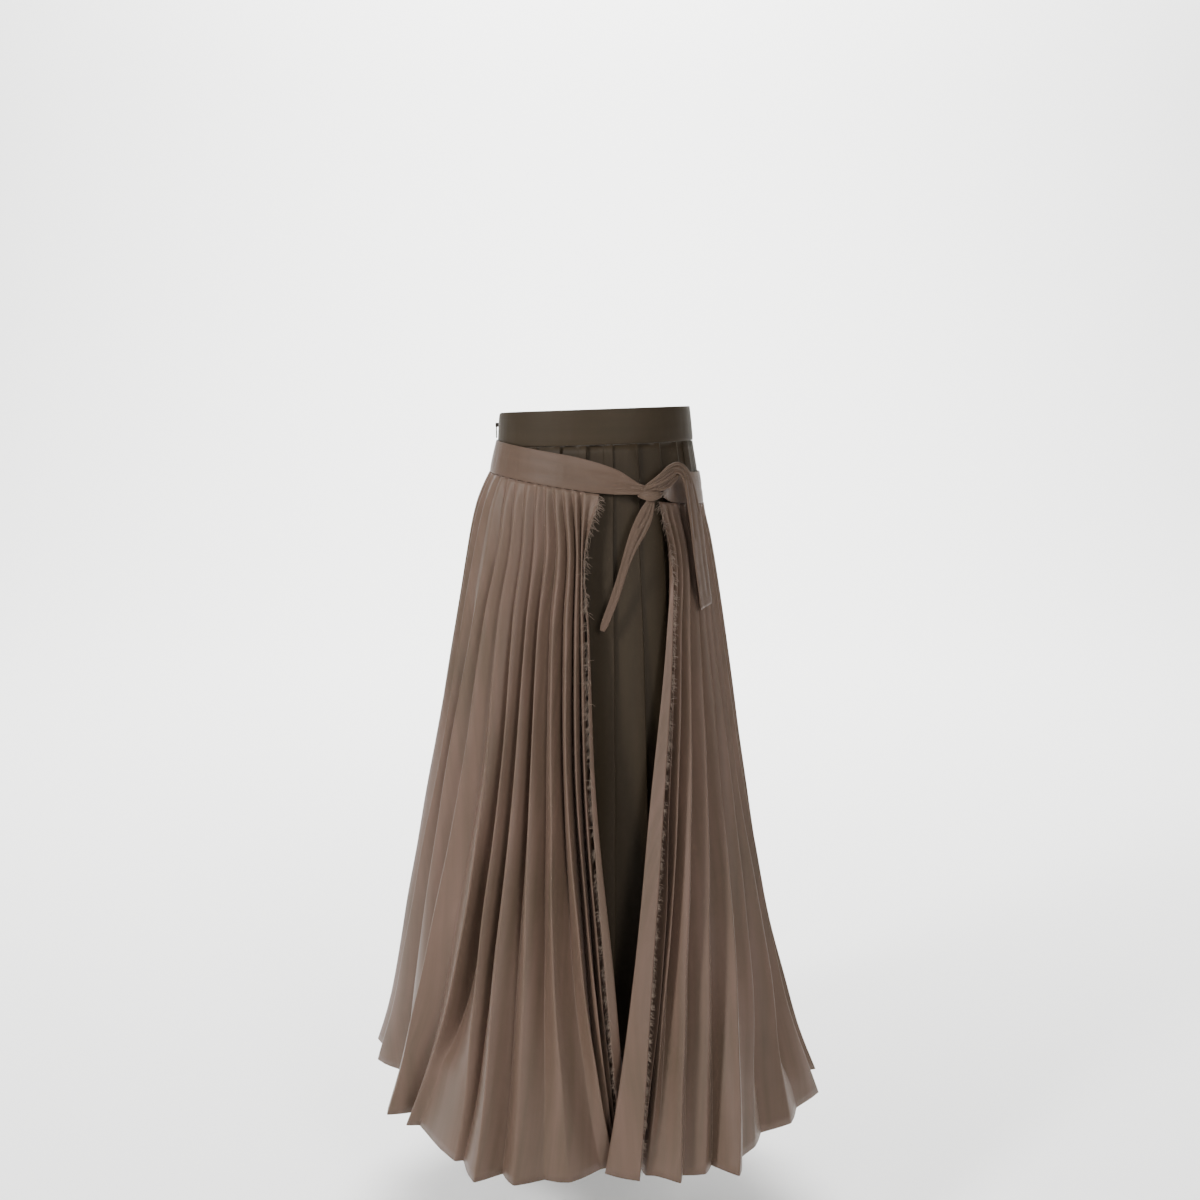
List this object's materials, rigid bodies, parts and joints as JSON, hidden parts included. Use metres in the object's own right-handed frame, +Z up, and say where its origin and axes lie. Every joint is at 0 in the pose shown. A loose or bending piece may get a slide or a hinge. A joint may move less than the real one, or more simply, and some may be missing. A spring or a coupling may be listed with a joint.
{
  "type": "two-layer pleated wrap skirt, worn form without a wearer",
  "caption": "Long two-layer skirt: a knife-pleated inner skirt on a waistband, under a fan-pleated wrap overskirt tied at the back with a belt, raw-edged and open down the back.",
  "frame": {"origin": "on the body's axis at the height of the waistband's top edge at the middle of the back, which is where the waist holds the skirt", "axes": "+Z up along the body's axis; -Y is the back, which the picture shows, and +X is to the right of that view"},
  "size_m": [0.5852, 0.597, 0.8648],
  "materials": {
    "inner_cloth": "matte dark olive-brown plain weave with a slight sheen",
    "over_cloth": "taupe satin weave with a soft sheen",
    "zip_cloth": "dark ribbed zip tape",
    "zip_metal": "dark enamelled metal"
  },
  "bodies": {
    "skirt": {"waistband": "inner_cloth", "inner_skirt_back": "inner_cloth", "inner_skirt_front": "inner_cloth", "overskirt_right_back": "over_cloth", "overskirt_right_front": "over_cloth", "overskirt_left_front": "over_cloth", "overskirt_left_back": "over_cloth", "belt": "over_cloth", "tie_left": "over_cloth", "tie_right": "over_cloth", "knot": "over_cloth", "tail_over": "over_cloth", "tail_down": "over_cloth", "zip_tape": "zip_cloth", "zip_slider": "zip_metal"},
    "pull_tab": {"zip_pull_tab": "zip_metal"}
  },
  "joints": [
    {"name": "pull_tab_hinge", "type": "hinge", "parent": "skirt", "child": "pull_tab", "pos_m": [-0.12196, 0.00323, -0.02801], "axis": [0.0345, 0.9994, 0], "range_deg": [0, 150]}
  ]
}
